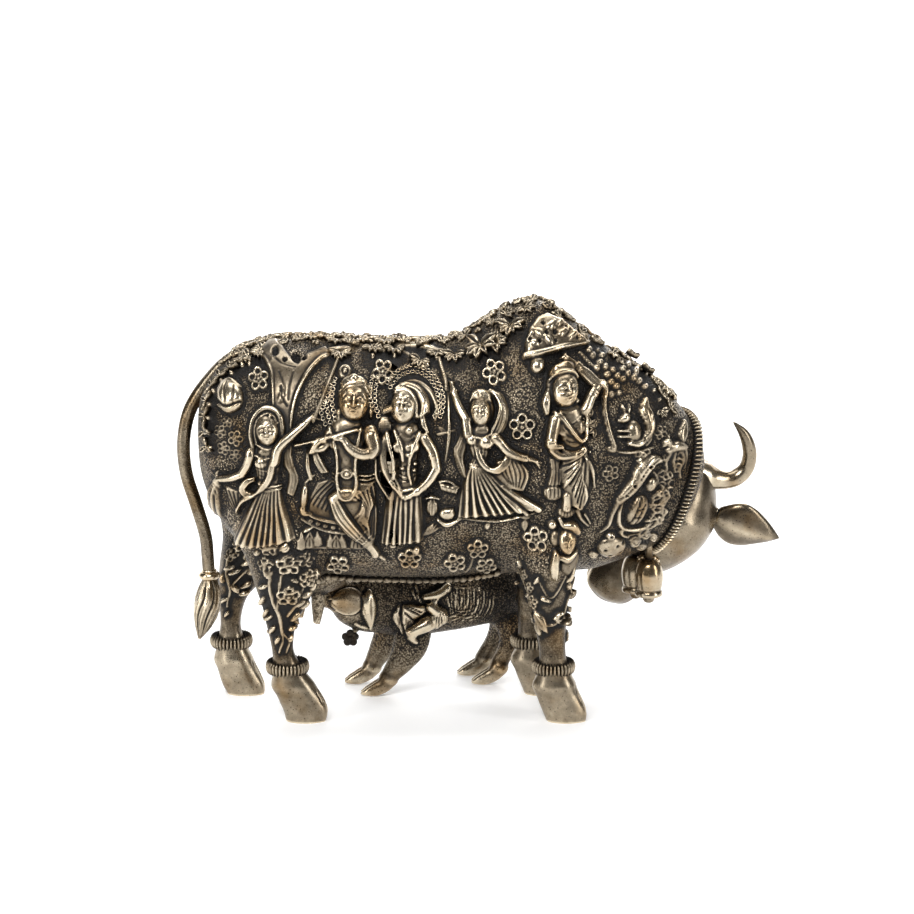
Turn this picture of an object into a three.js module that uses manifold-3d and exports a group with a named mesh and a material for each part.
// A brass cow that turns her head back to the calf she suckles, with figures in relief all over her body.
// Millimetres, +Z up. She faces +X, and her main figures are on the side that faces -Y, the near side.
import * as THREE from "three";
import { mergeVertices } from "three/addons/utils/BufferGeometryUtils.js";
import Module from "manifold-3d";

const wasm = await Module();
wasm.setup();

const NEAR = -1;
const FAR = 1;
const FAIRNESS = 0.4; // the most that the joined skin may stray where slivers are removed

// The trunk's stations from the rump to the neck's end: the top point (x, z), the bottom point (x, z),
// half the width, the turn towards the far side in degrees, the middle's offset to the far side, and how
// much the top narrows to a ridge.
const TRUNK = [
  [-153, 161, -153, 150, 5, 0, 0, 0],
  [-151.5, 175, -151, 133, 20, 0, 0, 0],
  [-147, 185.5, -145.5, 118, 32, 0, 0, 0],
  [-139, 195, -136.5, 102, 39.5, 0, 0, 0.1],
  [-126, 203.5, -121, 88, 44.5, 0, 0, 0.1],
  [-105, 208.5, -101, 79.5, 47.5, 0, 0, 0.1],
  [-79, 208.5, -76, 77, 48.5, 0, 0, 0.1],
  [-52, 206.5, -50, 76, 49, 0, 0, 0.1],
  [-27, 206.5, -25, 75.5, 49, 0, 0, 0.15],
  [-9, 211, -3, 76.5, 49, 0, 0, 0.3],
  [6, 219.5, 14, 78, 49, 0, 0, 0.45],
  [17, 226.5, 28, 79, 49, 0, 0, 0.55],
  [27, 229.5, 38, 79.5, 48, 0, 0, 0.6],
  [38, 227.5, 47, 79.5, 46, 0, 0, 0.6],
  [50, 218.5, 55, 79.5, 43, 2, 0, 0.5],
  [64, 207.5, 62, 80, 39.5, 6, 1, 0.35],
  [79, 197, 70, 82, 36.5, 11, 3.5, 0.2],
  [91.5, 188, 78, 84.5, 34, 17, 7, 0.1],
  [103, 176.5, 85, 86.5, 31, 23, 11.5, 0.05],
  [112.5, 162, 90, 87.5, 28.5, 28, 16, 0],
  [118, 149, 99, 95, 23, 31, 19, 0],
  [120, 137, 109, 110, 12, 33, 22, 0],
];
const TRUNK_SIDES = 18;
const TRUNK_RINGS = 27;
const SQUARENESS = 2.3; // of the trunk's section: 2 is an ellipse
// The collar's place is its share of the way along the trunk.
const COLLAR = { at: 19 / 21, halfDepth: 2.6, halfWidth: 3 };

// The legs' stations from the ground up: the height, the middle (x, y), half the length and half the width.
const LEGS = {
  near_hind: [
    [0, -94.8, -27, 10.8, 8.4],
    [5, -94.8, -27, 12, 9],
    [12, -97.4, -27, 12.2, 9],
    [20, -100.8, -27, 11.2, 8.8],
    [27, -103.4, -27, 9, 8],
    [38, -106.6, -27, 6, 6.4],
    [47, -107.4, -27, 6.6, 7],
    [56, -107.4, -27, 8.6, 8.6],
    [64, -106, -27, 11.6, 11],
    [76, -104.8, -27, 16.5, 14.5],
    [92, -104, -26, 22.5, 18],
    [112, -106, -24, 29, 21],
    [140, -110, -18, 27, 24],
  ],
  far_hind: [
    [0, -131, 26, 10.4, 8.4],
    [5, -132.4, 26, 11.6, 9],
    [12, -134.8, 26, 11.3, 9],
    [20, -137, 26, 10.2, 8.8],
    [27, -138.4, 26, 8.6, 8],
    [38, -139, 26, 5.9, 6.4],
    [47, -138.6, 26, 6.2, 7],
    [56, -137.4, 26, 8.2, 8.6],
    [64, -134, 26, 11.4, 11],
    [76, -129.5, 26, 15, 14.5],
    [92, -123, 25, 19.5, 18],
    [112, -118, 23, 26, 21],
    [140, -113, 18, 27, 24],
  ],
  near_front: [
    [0, 48.2, -27, 10.8, 8.4],
    [5, 47.4, -27, 12, 9],
    [12, 44.8, -27, 12, 9],
    [20, 42.4, -27, 11.2, 8.8],
    [27, 41.6, -27, 9.2, 8],
    [38, 40.8, -27, 7.2, 7],
    [55, 39.6, -27, 8.6, 8],
    [68, 39, -27, 10.2, 9.4],
    [80, 38.6, -27, 13.4, 12],
    [92, 38, -26, 17, 15],
    [112, 37, -24, 20, 18],
    [140, 36, -18, 19, 20],
  ],
  far_front: [
    [0, 36.8, 26, 10.8, 8.4],
    [5, 36, 26, 12, 9],
    [12, 33.4, 26, 12, 9],
    [20, 31, 26, 11.2, 8.8],
    [27, 30.4, 26, 9.2, 8],
    [38, 29.8, 26, 7.2, 7],
    [55, 30, 26, 8, 7.6],
    [68, 30.6, 26, 9.8, 9],
    [80, 31.6, 26, 13, 12],
    [92, 32.4, 25, 17, 15],
    [112, 34, 23, 20, 18],
    [140, 36, 18, 19, 20],
  ],
};
const LEG_SIDES = 9;
const BELLS = [[94.8, 1, 72.6], [89.5, 8, 72]];
const ANKLET = { height: 30.5, radius: 9.2, thickness: 2.6, ribs: 9 };

// The head's own axes start at the poll. "down" runs to the muzzle, "right" to the right ear and "front"
// out of the brow.
const POLL = new THREE.Vector3(125.7, 36, 128.5);
const MUZZLE = new THREE.Vector3(74.5, 65, 54.4);
const EAR_LINE = new THREE.Vector3(0.842, 0.134, -0.523);
// Its sections: the share of the way down, half the width, half the depth and how far the jaw sets it back.
const HEAD = [
  [-0.03, 3, 3, 0],
  [0.02, 8, 10, 1],
  [0.07, 13, 15, 2],
  [0.14, 18.5, 20, 3.5],
  [0.23, 24, 26, 5.5],
  [0.34, 25.5, 28, 7],
  [0.45, 24.5, 27, 7.5],
  [0.575, 21, 24, 7],
  [0.7, 16.5, 19, 5.5],
  [0.82, 15.2, 16.5, 4],
  [0.94, 16, 15.5, 3],
  [1.02, 13.5, 12.5, 3],
  [1.07, 7, 7, 2],
];
// The horns and the ears: points (x, y, z) from the root to the tip, each with its half-width.
const HORNS = [
  [[121, 36, 125, 8.4], [128, 38, 122, 7.8], [133.5, 39, 120.4, 6], [139.6, 40.5, 119.5, 5],
    [145.2, 41.8, 120.9, 4.8], [150.2, 42.1, 125.7, 4.4], [152, 41.1, 133.1, 4.1],
    [150.9, 39.6, 140.6, 3.7], [147.9, 38.1, 147.2, 2.8], [142.4, 36.2, 153.6, 0.9]],
  [[113, 43, 130, 8.4], [106, 47, 134, 7.6], [100, 50, 137.5, 6], [95, 52.5, 142, 5], [92, 54.5, 148, 4.6],
    [92.5, 55.5, 155, 3.9], [96, 55, 161.5, 2.9], [102, 53, 166, 0.9]],
];
const EARS = [
  [[125, 41, 102.5, 5], [132.7, 41.4, 99, 3.4], [136.6, 41.8, 97.2, 6.5], [141.8, 42.1, 95.4, 10.5],
    [148.6, 42.6, 92.9, 12], [157.7, 43, 90.5, 9], [164, 43.7, 87.5, 5], [169.7, 44.2, 85, 0.9]],
  [[98, 41, 120.5, 5], [92, 44, 124, 3.4], [89, 46, 126.5, 6.5], [85, 48.5, 129.5, 10.5],
    [79, 51.5, 132.5, 12], [71.5, 54.5, 136, 9], [66, 56, 139, 5], [61, 57, 141.5, 0.9]],
];

// The calf's body, from the chest to the rump: the middle (x, y, z), half the width and half the height.
const CALF_BODY = [
  [-62, 30, 46, 5, 8],
  [-59, 31, 47, 12, 15],
  [-50, 33, 50, 16, 19.5],
  [-34, 37, 52, 17.5, 21],
  [-16, 41, 53, 17.5, 20.5],
  [0, 45, 54, 17, 19.5],
  [13, 49, 54, 14.5, 18],
  [23, 53, 54, 11, 14],
  [28, 55, 53, 5, 7],
];
// Its neck and head, from the withers to the muzzle.
const CALF_HEAD = [
  [-44, 33, 53, 14, 18],
  [-56, 27, 53, 13, 18],
  [-64, 21.5, 54.5, 11.5, 17],
  [-71, 17, 56.5, 11, 14.5],
  [-77, 12.5, 59, 8.5, 10.5],
  [-83, 8.5, 60, 6.5, 6.5],
  [-86.5, 6, 60, 5, 5],
  [-88.5, 4.8, 60, 2.5, 2.5],
];
// Its legs: the foot (x, y), then the pastern, the shank, the knee and the top (x, y, z), each with its
// half-length and half-width.
const CALF_LEGS = [
  {
    foot: [-56, 20],
    line: [[-50, 20, 11, 5, 4.6], [-43, 21, 20, 7.6, 6], [-38, 23, 29, 10, 7], [-35, 27, 42, 10, 8]],
  },
  {
    foot: [-66, 44],
    line: [[-60, 44, 11, 5, 4.6], [-55, 43.5, 20, 7, 6], [-50, 42, 30, 9, 7], [-46, 40, 42, 10, 8]],
  },
  {
    foot: [6, 43],
    line: [[11.5, 43.5, 11, 4.8, 4.4], [17, 45, 22, 5.4, 5], [18, 46, 33, 8, 6.4], [13, 48, 46, 11, 8]],
  },
  {
    foot: [-2, 61],
    line: [[3.5, 60.5, 11, 4.8, 4.4], [10, 60, 22, 5.4, 5], [14, 58, 33, 8, 6.4], [13, 54, 46, 11, 8]],
  },
];
// A hoof of the calf, from the ground up: the height, the shift back, half the length and half the width.
const CALF_HOOF = [
  [0, 0, 9.6, 5],
  [3, 0.8, 9.8, 5.2],
  [8, 3.6, 7, 4.8],
  [14, 6.8, 4.8, 4.4],
];

// The tail's line (x, z), which lies in the middle plane, and the tassel at its end with its radii.
const TAIL = [
  [-120, 203], [-129, 200], [-138.5, 193.5], [-146, 185.5], [-152.5, 177], [-157.6, 168], [-160.4, 158],
  [-161.4, 146], [-159.8, 131.5], [-155, 115], [-150.4, 98], [-149.2, 86], [-148.6, 73],
];
const TAIL_RADIUS = { root: 4, lessEachStation: 0.05 };
const TASSEL = [
  [-148.4, 74.5, 3.6], [-148.8, 66, 6.4], [-150.2, 57, 7.4], [-152.4, 47, 5], [-154.6, 38.5, 0.8],
];
const TASSEL_RING = { radius: 3.7, thickness: 1.8 };
// A bell's profile: the radius and the height over its middle.
const BELL = [
  [0, 20], [2.2, 20], [2.4, 11], [3.6, 10.4], [5.8, 7.6], [6.2, 0], [6, -5], [6.6, -8.6], [6, -9.4],
  [3, -9.4], [3, -11], [2, -13], [0, -13.6],
];
const EYES = { apart: 41, forward: 11, down: 32, radius: 4.6 };
const BAG = { middle: [-88, -2, 78], radii: [18, 19, 12], teats: [[-88, -9], [-98, 5]], teatEnd: 49.5 };
const LIMB = { halfWidth: 2.1, halfDepth: 3.4, thigh: 4.6, taper: 0.6, legDepth: 4.4 };

const vec = (x, y, z) => new THREE.Vector3(x, y, z);
const degrees = (a) => (a * Math.PI) / 180;

// A value that runs smoothly through the listed ones as t goes from 0 to 1.
function along(values, t) {
  const s = t * (values.length - 1);
  const i = Math.min(Math.floor(s), values.length - 2);
  const f = s - i;
  const [a, b, c, d] = [-1, 0, 1, 2].map((k) => values[Math.max(0, Math.min(values.length - 1, i + k))]);
  return b + 0.5 * f * (c - a + f * (2 * a - 5 * b + 4 * c - d + f * (3 * (b - c) + d - a)));
}

// A table's row at t, each column smoothed.
const rowAt = (table, t) => table[0].map((_, k) => along(table.map((row) => row[k]), t));

function solidOf(geometry) {
  const bare = geometry.clone();
  bare.deleteAttribute("normal");
  bare.deleteAttribute("uv");
  const merged = mergeVertices(bare, 1e-4);
  const triVerts = new Uint32Array(merged.index.array);
  const points = merged.attributes.position.array;
  let volume = 0;
  for (let i = 0; i < triVerts.length; i += 3) {
    const [a, b, c] = [0, 1, 2].map((k) => new THREE.Vector3().fromArray(points, 3 * triVerts[i + k]));
    volume += a.dot(b.cross(c));
  }
  if (volume < 0) for (let i = 0; i < triVerts.length; i += 3) triVerts.subarray(i + 1, i + 3).reverse();
  return new wasm.Manifold(new wasm.Mesh({ numProp: 3, vertProperties: points, triVerts }));
}

function geometryOf(solid) {
  const mesh = solid.getMesh();
  return new THREE.BufferGeometry()
    .setAttribute("position", new THREE.BufferAttribute(mesh.vertProperties, 3))
    .setIndex(new THREE.BufferAttribute(mesh.triVerts, 1));
}

const unite = (solids) => solids.reduce((all, one) => all.add(one));

// The same solid with the small closed pockets between overlapping forms filled.
const withoutPockets = (solid) => unite(solid.decompose().filter((body) => body.volume() > 0));

// A closed skin over rings of equal counts of points, with a fan over each end.
function loft(rings) {
  const count = rings[0].length;
  const points = rings.flat();
  const index = [];
  for (let i = 0; i + 1 < rings.length; i++)
    for (let j = 0; j < count; j++) {
      const [a, b] = [i * count + j, i * count + ((j + 1) % count)];
      index.push(a, a + count, b, b, a + count, b + count);
    }
  for (const [ring, base] of [[rings[0], 0], [rings.at(-1), (rings.length - 1) * count]]) {
    const middle = ring.reduce((sum, p) => sum.add(p), vec(0, 0, 0)).divideScalar(count);
    points.push(middle);
    for (let j = 0; j < count; j++) {
      const [a, b] = [base + j, base + ((j + 1) % count)];
      index.push(...(base ? [a, points.length - 1, b] : [a, b, points.length - 1]));
    }
  }
  return new THREE.BufferGeometry().setFromPoints(points).setIndex(index);
}

// A ring round a middle, from half-axes a and b. Power 2 makes an ellipse, and more squares it off.
function ring(middle, a, b, sides, power = 2, ridge = 0) {
  return Array.from({ length: sides }, (_, j) => {
    const angle = (2 * Math.PI * j) / sides;
    const [c, s] = [Math.cos(angle), Math.sin(angle)];
    const round = (v) => Math.sign(v) * Math.abs(v) ** (2 / power);
    const narrow = 1 - ridge * Math.max(0, s) ** 2 * 0.75;
    return middle.clone().addScaledVector(a, round(c) * narrow).addScaledVector(b, round(s));
  });
}

function trunkRing(t, sides, grow = 0) {
  const [tx, tz, bx, bz, half, turn, offset, ridge] = rowAt(TRUNK, t);
  const middle = vec((tx + bx) / 2, offset, (tz + bz) / 2);
  const up = vec((tx - bx) / 2, 0, (tz - bz) / 2);
  const side = vec(-Math.sin(degrees(turn)), Math.cos(degrees(turn)), 0).multiplyScalar(half + grow);
  return ring(middle, side, up.setLength(up.length() + grow), sides, SQUARENESS, ridge);
}

const trunkGeometry = loft(
  Array.from({ length: TRUNK_RINGS + 1 }, (_, i) => trunkRing(i / TRUNK_RINGS, TRUNK_SIDES)),
);

// A sweep through points, with half-widths and half-depths at each. "out" gives the depth's direction.
function sweep(points, widths, depths, { sides = 6, steps = 3, out = () => vec(0, 0, 1) } = {}) {
  const curve = new THREE.CatmullRomCurve3(points);
  const count = (points.length - 1) * steps;
  return loft(
    Array.from({ length: count + 1 }, (_, i) => {
      const t = i / count;
      const middle = curve.getPoint(t);
      const ahead = curve.getTangent(t);
      const outward = out(t, middle);
      const across = outward.clone().cross(ahead).normalize();
      const depth = ahead.clone().cross(across).normalize();
      across.multiplyScalar(along(widths, t));
      depth.multiplyScalar(along(depths, t));
      return ring(middle, across, depth, sides);
    }),
  );
}

function ball(middle, radii, axes = [vec(1, 0, 0), vec(0, 1, 0), vec(0, 0, 1)], detail = [7, 6]) {
  const scaled = axes.map((axis, k) => axis.clone().setLength(radii[k]));
  return new THREE.SphereGeometry(1, ...detail).applyMatrix4(
    new THREE.Matrix4().makeBasis(...scaled).setPosition(middle),
  );
}

// The skin of the trunk, seen from one side: the point at (x, z) and the way out of it.
const probe = new THREE.Mesh(trunkGeometry, new THREE.MeshBasicMaterial({ side: THREE.DoubleSide }));
probe.updateMatrixWorld();
const caster = new THREE.Raycaster();
const SPREAD = 5; // between the rays that give the slope

function hit(x, z, side) {
  caster.set(vec(x, side * 200, z), vec(0, -side, 0));
  return caster.intersectObject(probe)[0]?.point;
}

function skin(x, z, side) {
  // Past the outline, the nearest skin straight above or below is taken.
  let point = hit(x, z, side);
  for (let step = 1; !point; step++) point = hit(x, z - step, side) ?? hit(x, z + step, side);
  const [e, w] = [hit(x + SPREAD, z, side) ?? point, hit(x - SPREAD, z, side) ?? point];
  const [n, s] = [hit(x, z + SPREAD, side) ?? point, hit(x, z - SPREAD, side) ?? point];
  const out = e.clone().sub(w).cross(n.clone().sub(s)).normalize();
  if (out.y * side < 0) out.negate();
  return { point, out };
}

function onSkin(x, z, height, side) {
  const { point, out } = skin(x, z, side);
  return point.addScaledVector(out, height);
}

// Shapes laid on the skin. A point is (x, z) and its height above the skin.
const limbOn = (side, points, widths, depths = widths, options = {}) =>
  solidOf(
    sweep(points.map(([x, z, h]) => onSkin(x, z, h, side)), widths, depths, {
      sides: 5,
      steps: 2,
      out: (_, middle) => skin(middle.x, middle.z, side).out,
      ...options,
    }),
  );

function ballOn(side, [x, z, h], [across, out, up], tilt = 0) {
  const normal = skin(x, z, side).out;
  const upright = vec(Math.sin(degrees(tilt)), 0, Math.cos(degrees(tilt)));
  const upward = upright.projectOnPlane(normal).normalize();
  const sideways = normal.clone().cross(upward);
  return solidOf(ball(onSkin(x, z, h, side), [across, out, up], [sideways, normal, upward]));
}

// A slab that follows the skin: edge(v) gives its left and right (x, z) at v from top to bottom, and
// height(u, v) its face.
function slabOn(side, edge, height, columns, rows, depth = 3) {
  const layer = (drop) =>
    Array.from({ length: rows + 1 }, (_, j) =>
      Array.from({ length: columns + 1 }, (_, i) => {
        const [u, v] = [i / columns, j / rows];
        const [[x0, z0], [x1, z1]] = edge(v);
        return onSkin(x0 + (x1 - x0) * u, z0 + (z1 - z0) * u, drop ? -depth : height(u, v), side);
      }),
    );
  const [front, back] = [layer(false), layer(true)];
  return solidOf(loft(front.map((row, j) => [...row, ...back[j].toReversed()])));
}

// A skirt: it widens from the waist to the hem, with upright pleats.
function skirtOn(side, { waist, hem, pleats, rise = 4 }) {
  const edge = (v) => {
    const spread = v ** 1.3;
    const [x, z, half] = waist;
    const [xl, zl, xr, zr] = hem;
    return [
      [x - half + (xl - x + half) * spread, z + (zl - z) * v],
      [x + half + (xr - x - half) * spread, z + (zr - z) * v],
    ];
  };
  const swell = (u) => rise * (0.45 + 0.55 * Math.sin(Math.PI * u));
  const height = (u, v) => swell(u) + (0.4 + v) * Math.cos(2 * Math.PI * pleats * u);
  return slabOn(side, edge, height, pleats * 2, 2);
}

// A figure: head (x, z, half-width, half-height, tilt), body (x, z, half-width) from the neck to the
// waist, arms and legs as lists of points, and a skirt.
function figureOn(side, { head, body, arms = [], legs = [], skirt }) {
  const [x, z, half, tall, tilt = 0] = head;
  const widths = body.map(([, , w]) => w);
  const thin = { sides: 4, steps: 1 };
  const raised = (points, h) => points.map(([px, pz]) => [px, pz, h]);
  const armOn = (arm) =>
    limbOn(side, raised(arm, 1.2), arm.map(() => LIMB.halfWidth), arm.map(() => LIMB.halfDepth), thin);
  const legOn = (leg) => {
    const taper = leg.map((_, k) => LIMB.thigh - LIMB.taper * k);
    return limbOn(side, raised(leg, 0.6), taper, leg.map(() => LIMB.legDepth), thin);
  };
  const parts = [
    ballOn(side, [x, z, half * 0.4], [half, half * 1.05, tall], tilt),
    limbOn(side, raised(body, 0.8), widths, widths.map((w) => 1.4 + w * 0.62), { steps: 1 }),
    ...arms.map(armOn),
    ...legs.map(legOn),
  ];
  if (skirt) parts.push(skirtOn(side, skirt));
  return unite(parts);
}

const NEAR_FIGURES = [
  {
    head: [-112.3, 167.7, 7.6, 9.8, -8],
    body: [
      [-112.4, 159, 3.4], [-112.6, 152.5, 7.4], [-113.5, 146, 6.6], [-112.8, 138, 4.4], [-111.5, 130, 5.4],
    ],
    arms: [
      [[-119, 153], [-124, 145.5], [-131, 138], [-139, 136.4]],
      [[-106.5, 153.5], [-102.6, 161.6], [-95, 168], [-88.2, 173.2]],
    ],
    skirt: { waist: [-111, 132, 5.2], hem: [-127, 103, -98, 102], pleats: 6 },
  },
  {
    head: [-65.8, 183.6, 8.8, 12, -4],
    body: [[-68.6, 173, 4], [-70, 164.5, 9.8], [-70.3, 156, 8.4], [-70, 146, 6.8], [-69.2, 135, 8]],
    arms: [
      [[-78.5, 163], [-86, 157.5], [-93, 160.6]],
      [[-59.5, 165], [-54.5, 156], [-62, 157], [-72, 162.5]],
    ],
    legs: [
      [[-68, 136], [-79, 127], [-79, 117.5], [-66, 111]],
      [[-65, 136], [-58, 124], [-57, 110], [-55.7, 98.5]],
    ],
  },
  {
    head: [-39, 179.6, 8, 11.2, 12],
    body: [[-37.8, 170, 4], [-38, 161.5, 8.4], [-38.5, 150, 6.4], [-40.2, 138, 6.8]],
    arms: [
      [[-29.8, 163], [-22, 147], [-27, 140], [-35.4, 134.8]],
      [[-44.6, 160], [-46.8, 148], [-43, 137]],
    ],
    skirt: { waist: [-40.5, 139, 7], hem: [-49, 102.5, -28.5, 102.5], pleats: 5 },
  },
  {
    head: [1.6, 177.9, 6.4, 8.8, 0],
    body: [[0.8, 170, 3.4], [0, 163.5, 6.6], [-0.4, 156, 5.4], [-2, 147, 4]],
    arms: [
      [[-5.9, 166], [-8.8, 173], [-11.5, 181], [-13.9, 187.8]],
      [[6, 164.5], [12, 159], [20, 152.5], [33.2, 148.3]],
    ],
    skirt: { waist: [-2, 149, 4.8], hem: [-11, 118, 33, 124], pleats: 7 },
  },
  {
    head: [45.5, 187.2, 7.2, 9.8, -8],
    body: [[46.6, 178.5, 3.8], [48, 171, 7.6], [49.6, 161, 6.2], [50.2, 152, 6.4]],
    arms: [
      [[55, 173.5], [61.5, 182], [60, 192], [47.5, 201]],
      [[41.4, 171.5], [37.4, 159.5], [46, 155.5]],
    ],
    legs: [
      [[48, 154], [45, 139], [44.3, 121]],
      [[53, 154], [54.8, 139], [52.5, 119]],
    ],
  },
];
const FAR_FIGURES = [
  {
    head: [-104, 174, 8, 10.8, 6],
    body: [[-104, 165, 3.8], [-104.6, 157.5, 8], [-104, 147, 5.4], [-104, 137, 6]],
    arms: [
      [[-97, 160], [-88.5, 152], [-84, 162], [-80, 171]],
      [[-112, 160], [-119, 150], [-112, 142]],
    ],
    skirt: { waist: [-104, 138, 6], hem: [-119, 107, -88, 107], pleats: 4 },
  },
  {
    head: [-52, 182, 8.6, 11.6, -6],
    body: [[-52, 172, 4], [-52.6, 163.5, 8.8], [-52, 152, 6.2], [-52, 141, 6.6]],
    arms: [
      [[-60, 166], [-67, 157], [-60, 160], [-52, 167]],
      [[-45, 166], [-38, 157], [-42, 163], [-49, 169]],
    ],
    skirt: { waist: [-52, 142, 6.6], hem: [-64, 106, -39, 106], pleats: 4 },
  },
  {
    head: [0, 176, 7.2, 9.8, 6],
    body: [[0, 168, 3.6], [-0.6, 160.5, 7.2], [0, 151, 5], [0, 142, 5.6]],
    arms: [
      [[6.4, 163], [13, 172], [18, 184]],
      [[-7, 163], [-14, 155], [-22, 151]],
    ],
    skirt: { waist: [0, 143, 5.6], hem: [-16, 112, 15, 112], pleats: 4 },
  },
];

// The tree behind the first dancer, with its two boughs.
function tree() {
  const stem = [[-103, 157, 0], [-103, 168, 0.8], [-102, 182, 1], [-101.5, 200, 0.6]];
  const frontBough = [[-96, 195, 0], [-88, 202, 0.6], [-74, 204.5, 0.6], [-58.6, 204.5, 0]];
  const rearBough = [[-107, 193, 0], [-113, 199, 0.6], [-121, 201.5, 0]];
  return [
    limbOn(NEAR, stem, [3.6, 4, 5.6, 8.7], [3, 3, 3.4, 3]),
    limbOn(NEAR, frontBough, [4.5, 3.4, 2.2, 1.5], [3, 2.6, 2, 1.5]),
    limbOn(NEAR, rearBough, [4.5, 3.2, 2], [3, 2.6, 2]),
  ];
}

// The hill that the last figure lifts: a wedge with a straight lower edge.
function hill() {
  const edge = (v) => [
    [29.6 - 6 * v, 221 - 17 * v],
    [37 + 21.4 * v, 223 - 14 * v],
  ];
  return slabOn(NEAR, edge, (u) => 1.6 + 2.6 * Math.sin(Math.PI * u), 4, 2, 4);
}

// The child on the shoulder, the squirrel, the slanting trunk and the pot on the neck.
function shoulderReliefs() {
  const brush = [[88, 162, 0.6], [91, 171, 1], [89, 182, 1]];
  const slanting = [[98.6, 143, 0.6], [88, 134, 1], [79, 122, 0.8], [72, 108, 0]];
  return [
    ballOn(NEAR, [46, 104.2, 2], [4.8, 4.4, 5.8]),
    ballOn(NEAR, [44.5, 93.5, 1], [6, 4.4, 7]),
    ballOn(NEAR, [81, 170, 1.4], [5.4, 4, 8], 10),
    limbOn(NEAR, brush, [2, 3.4, 2.4], [3, 3.4, 3], { steps: 1 }),
    limbOn(NEAR, slanting, [5, 4.6, 4, 2.6], [3, 3, 2.6, 2], { steps: 1 }),
    ballOn(NEAR, [72.9, 98.7, 0.6], [7.5, 3.6, 5.4]),
  ];
}

// The beaded hem along the belly on both sides.
function bellyHem(side) {
  const points = Array.from({ length: 11 }, (_, i) => [-78 + 9 * i, 80 + 5 * (i / 10) ** 4, 0.6]);
  return limbOn(side, points, points.map(() => 2), points.map(() => 2.2), { sides: 4, steps: 1 });
}

function leg(stations) {
  const rings = stations.map(([z, x, y, long, wide]) =>
    ring(vec(x, y, z), vec(long, 0, 0), vec(0, wide, 0), LEG_SIDES, 2.2),
  );
  return solidOf(loft(rings));
}

// A ribbed ring round the leg, above the hoof.
function anklet(stations) {
  const t = stations.findIndex(([z]) => z > ANKLET.height);
  const [low, high] = [stations[t - 1], stations[t]];
  const share = (ANKLET.height - low[0]) / (high[0] - low[0]);
  const [x, y] = [1, 2].map((k) => low[k] + (high[k] - low[k]) * share);
  const rings = Array.from({ length: 2 * ANKLET.ribs }, (_, i) => {
    const angle = (Math.PI * i) / ANKLET.ribs;
    const size = ANKLET.thickness * (i % 2 ? 0.85 : 1.12);
    const away = vec(Math.cos(angle), Math.sin(angle), 0);
    const middle = vec(x, y, ANKLET.height).addScaledVector(away, ANKLET.radius);
    return ring(middle, away.clone().multiplyScalar(size), vec(0, 0, size * 1.6), 4);
  });
  return solidOf(hoop(rings));
}

// A closed chain of rings, such as an anklet or a collar.
function hoop(rings) {
  const count = rings[0].length;
  const index = [];
  rings.forEach((_, i) => {
    for (let j = 0; j < count; j++) {
      const [a, b] = [i * count + j, i * count + ((j + 1) % count)];
      const [c, d] = [a, b].map((k) => (k + count) % (rings.length * count));
      index.push(a, c, b, b, c, d);
    }
  });
  return new THREE.BufferGeometry().setFromPoints(rings.flat()).setIndex(index);
}

function collar() {
  const line = trunkRing(COLLAR.at, 20, 0.6);
  const middle = line.reduce((sum, p) => sum.add(p), vec(0, 0, 0)).divideScalar(line.length);
  const axis = line[0].clone().sub(middle).cross(line[5].clone().sub(middle)).normalize();
  const outward = (p) => p.clone().sub(middle).setLength(COLLAR.halfDepth);
  const rings = line.map((p) => ring(p, outward(p), axis.clone().multiplyScalar(COLLAR.halfWidth), 4));
  return solidOf(hoop(rings));
}

// The head's axes, and a point given along them from the poll.
const down = MUZZLE.clone().sub(POLL).normalize();
const right = EAR_LINE.clone().projectOnPlane(down).normalize();
const front = right.clone().cross(down).normalize();
const onHead = (r, f, d) =>
  POLL.clone().addScaledVector(right, r).addScaledVector(front, f).addScaledVector(down, d);

function head() {
  const length = MUZZLE.distanceTo(POLL);
  const rings = HEAD.map(([share, wide, deep, back]) => {
    const [sideways, forward] = [right.clone().multiplyScalar(wide), front.clone().multiplyScalar(deep)];
    return ring(onHead(0, -back, share * length), sideways, forward, 14);
  });
  return solidOf(loft(rings));
}

// A horn sweeps out and up in a crescent.
function horn(stations) {
  const radii = stations.map((row) => row[3]);
  const line = stations.map(([x, y, z]) => vec(x, y, z));
  return solidOf(sweep(line, radii, radii, { sides: 8, steps: 1, out: () => front.clone() }));
}

// An ear is a pointed leaf behind a thin neck, a little cupped.
function ear(stations) {
  const wide = stations.map((row) => row[3]);
  const deep = wide.map((w) => Math.min(w, 2.6 + 0.16 * w));
  const line = stations.map(([x, y, z]) => vec(x, y, z));
  return solidOf(sweep(line, wide, deep, { sides: 8, steps: 1, out: () => front.clone() }));
}

// The eyes and the ornament on the brow.
function faceDetails() {
  const eyes = [-1, 1].map((hand) => {
    const middle = onHead((hand * EYES.apart) / 2, EYES.forward, EYES.down);
    return solidOf(ball(middle, [EYES.radius, EYES.radius, EYES.radius]));
  });
  const line = [onHead(0, 8, 2), onHead(0, 17, 13), onHead(0, 21, 27)];
  return [...eyes, solidOf(sweep(line, [6, 5, 1.5], [3, 3, 2], { out: () => front.clone() }))];
}

function tail() {
  const inPlane = (rows) => rows.map(([x, z]) => vec(x, 0, z));
  const outward = () => vec(0, 1, 0);
  const radii = TAIL.map((_, i) => TAIL_RADIUS.root - TAIL_RADIUS.lessEachStation * i);
  const rope = sweep(inPlane(TAIL), radii, radii, { sides: 7, steps: 1, out: outward });
  const [x, z] = TASSEL[0];
  const knot = new THREE.TorusGeometry(TASSEL_RING.radius, TASSEL_RING.thickness, 5, 10).translate(x, 0, z);
  const thick = TASSEL.map(([, , r]) => r);
  const tassel = sweep(inPlane(TASSEL), thick, thick, { sides: 8, steps: 1, out: outward });
  return [solidOf(rope), solidOf(knot), solidOf(tassel)];
}

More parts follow.
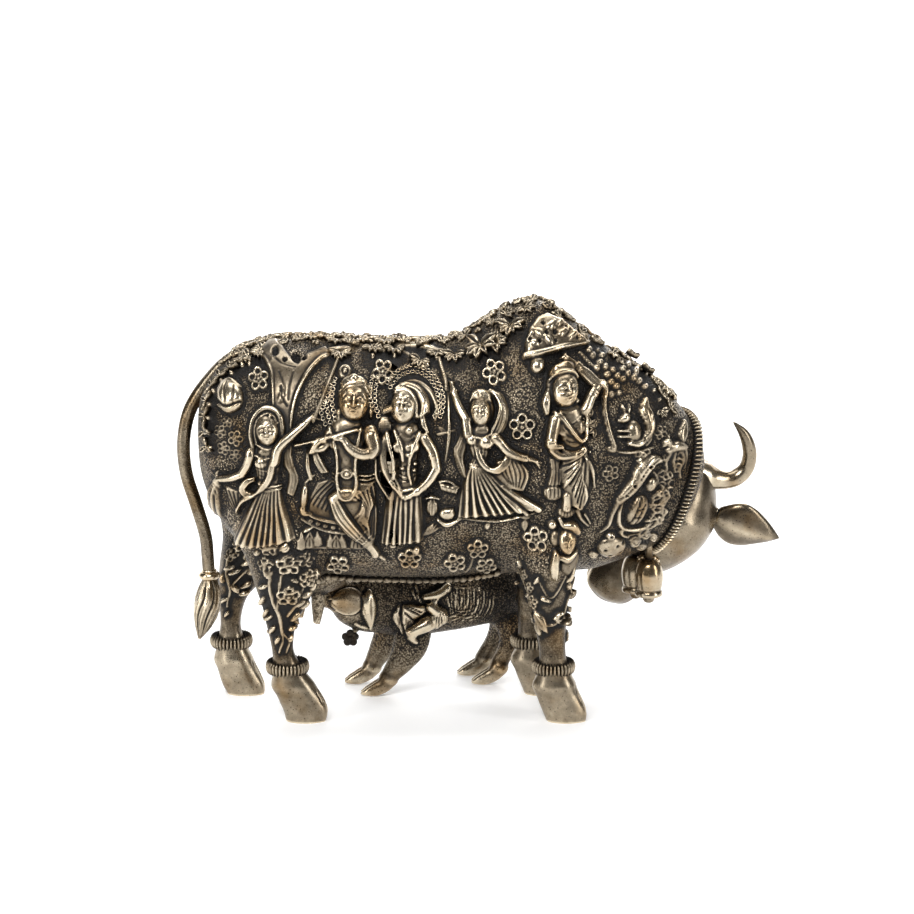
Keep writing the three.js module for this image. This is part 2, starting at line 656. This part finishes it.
// The bag and two of its teats. The calf's muzzle hides the others.
function udder() {
  const teats = BAG.teats.map(([x, y]) => {
    const line = [vec(x + 1, y, 76), vec(x, y, 62), vec(x - 1, y, BAG.teatEnd)];
    return solidOf(sweep(line, [5, 4.2, 3], [5, 4.2, 3], { steps: 1, out: () => vec(0, 1, 0) }));
  });
  return [solidOf(ball(vec(...BAG.middle), BAG.radii)), ...teats];
}

// The two bells under the collar, cast with it: a dome, a flared rim and the clapper's end.
function bell([x, y, z]) {
  const round = BELL.toReversed().map(([r, h]) => new THREE.Vector2(r, h));
  return solidOf(new THREE.LatheGeometry(round, 10).rotateX(Math.PI / 2).translate(x, y, z));
}

function cow() {
  const legs = Object.values(LEGS);
  const body = unite([solidOf(trunkGeometry), ...legs.map(leg), head(), ...udder(), ...tail()]);
  const worn = [...legs.map(anklet), collar(), ...BELLS.map(bell)];
  const fittings = [...worn, ...HORNS.map(horn), ...EARS.map(ear), ...faceDetails()];
  const reliefs = [
    ...NEAR_FIGURES.map((figure) => figureOn(NEAR, figure)),
    ...FAR_FIGURES.map((figure) => figureOn(FAR, figure)),
    ...tree(),
    hill(),
    ...shoulderReliefs(),
    bellyHem(NEAR),
    bellyHem(FAR),
  ];
  return unite([body, ...fittings, ...reliefs]);
}

// A tapered run of ellipses through (x, y, z, half-width, half-height) stations.
function calfPart(stations) {
  const points = stations.map(([x, y, z]) => vec(x, y, z));
  const [wide, tall] = [3, 4].map((k) => stations.map((row) => row[k]));
  return solidOf(sweep(points, wide, tall, { sides: 10, steps: 1 }));
}

function calfLeg({ foot, line }) {
  const [fx, fy] = foot;
  const points = line.toReversed().map(([x, y, z]) => vec(x, y, z));
  const [long, wide] = [3, 4].map((k) => line.toReversed().map((row) => row[k]));
  const shank = sweep(points, long, wide, { sides: 7, steps: 1, out: () => vec(0, 1, 0) });
  const rings = CALF_HOOF.map(([z, shift, half, side]) =>
    ring(vec(fx + shift, fy, z), vec(half, 0, 0), vec(0, side, 0), 7),
  );
  return [solidOf(shank), solidOf(loft(rings))];
}

// The rider carved on the calf's flank: a head, a body and two bent legs.
function calfRider() {
  const flank = (x, z, lift = 0) => {
    const share = (x - CALF_BODY[0][0]) / (CALF_BODY.at(-1)[0] - CALF_BODY[0][0]);
    const [, y, middle, wide, tall] = rowAt(CALF_BODY, share);
    const rise = Math.min(0.95, Math.abs(z - middle) / tall);
    return vec(x, y - wide * Math.sqrt(1 - rise ** 2) - lift, z);
  };
  const out = () => vec(0, -1, 0);
  const limb = (points, radii) => solidOf(sweep(points, radii, radii, { sides: 5, steps: 1, out }));
  return [
    limb([flank(-17, 66, 1), flank(-18, 58, 1.5), flank(-20, 50, 1)], [4, 4.4, 5]),
    limb([flank(-20, 51, 1), flank(-37, 52, 1), flank(-37, 38, 1)], [4.4, 3.8, 2.6]),
    limb([flank(-18, 50, 1), flank(-20, 41, 1.5), flank(-34, 37, 1)], [4.6, 4, 3]),
  ];
}

function calf() {
  const leaf = [vec(-61, 17, 65), vec(-60.5, 11.5, 57), vec(-60, 10.5, 49), vec(-59.5, 12, 40)];
  const hanging = sweep(leaf, [2, 4.4, 4.4, 1], [2.4, 2.6, 2.4, 1], { sides: 6, out: () => vec(0, -1, 0) });
  const dock = [vec(24, 53, 66), vec(33, 57, 60), vec(35, 58, 42), vec(33, 58, 26)];
  const dockRadii = [3, 2.6, 2.4, 3.2];
  const tailEnd = sweep(dock, dockRadii, dockRadii, { sides: 5, steps: 2, out: () => vec(0, 1, 0) });
  const bob = [vec(-64, 18, 44), vec(-69, 16, 38), vec(-73, 15, 33)];
  const charm = sweep(bob, [3, 3.2, 4.6], [3, 3.2, 4.6], { sides: 6, steps: 2 });
  return unite([
    calfPart(CALF_BODY),
    calfPart(CALF_HEAD),
    ...CALF_LEGS.flatMap(calfLeg),
    solidOf(hanging),
    solidOf(tailEnd),
    ...calfRider(),
    solidOf(charm),
  ]);
}

const brass = { color: 0xb09a6a, roughness: 0.32, metalness: 1 };
const group = new THREE.Group();

function place(name, solid) {
  const mesh = new THREE.Mesh(geometryOf(solid), new THREE.MeshStandardMaterial(brass));
  mesh.name = name;
  group.add(mesh);
}

place("cow", withoutPockets(cow().simplify(FAIRNESS)));
place("calf", withoutPockets(calf().simplify(FAIRNESS)));

// The origin is on the ground, in the middle of the whole group's box.
const box = new THREE.Box3().setFromObject(group);
const centre = box.getCenter(new THREE.Vector3());
group.position.set(-centre.x, -centre.y, -box.min.z);

export default group;
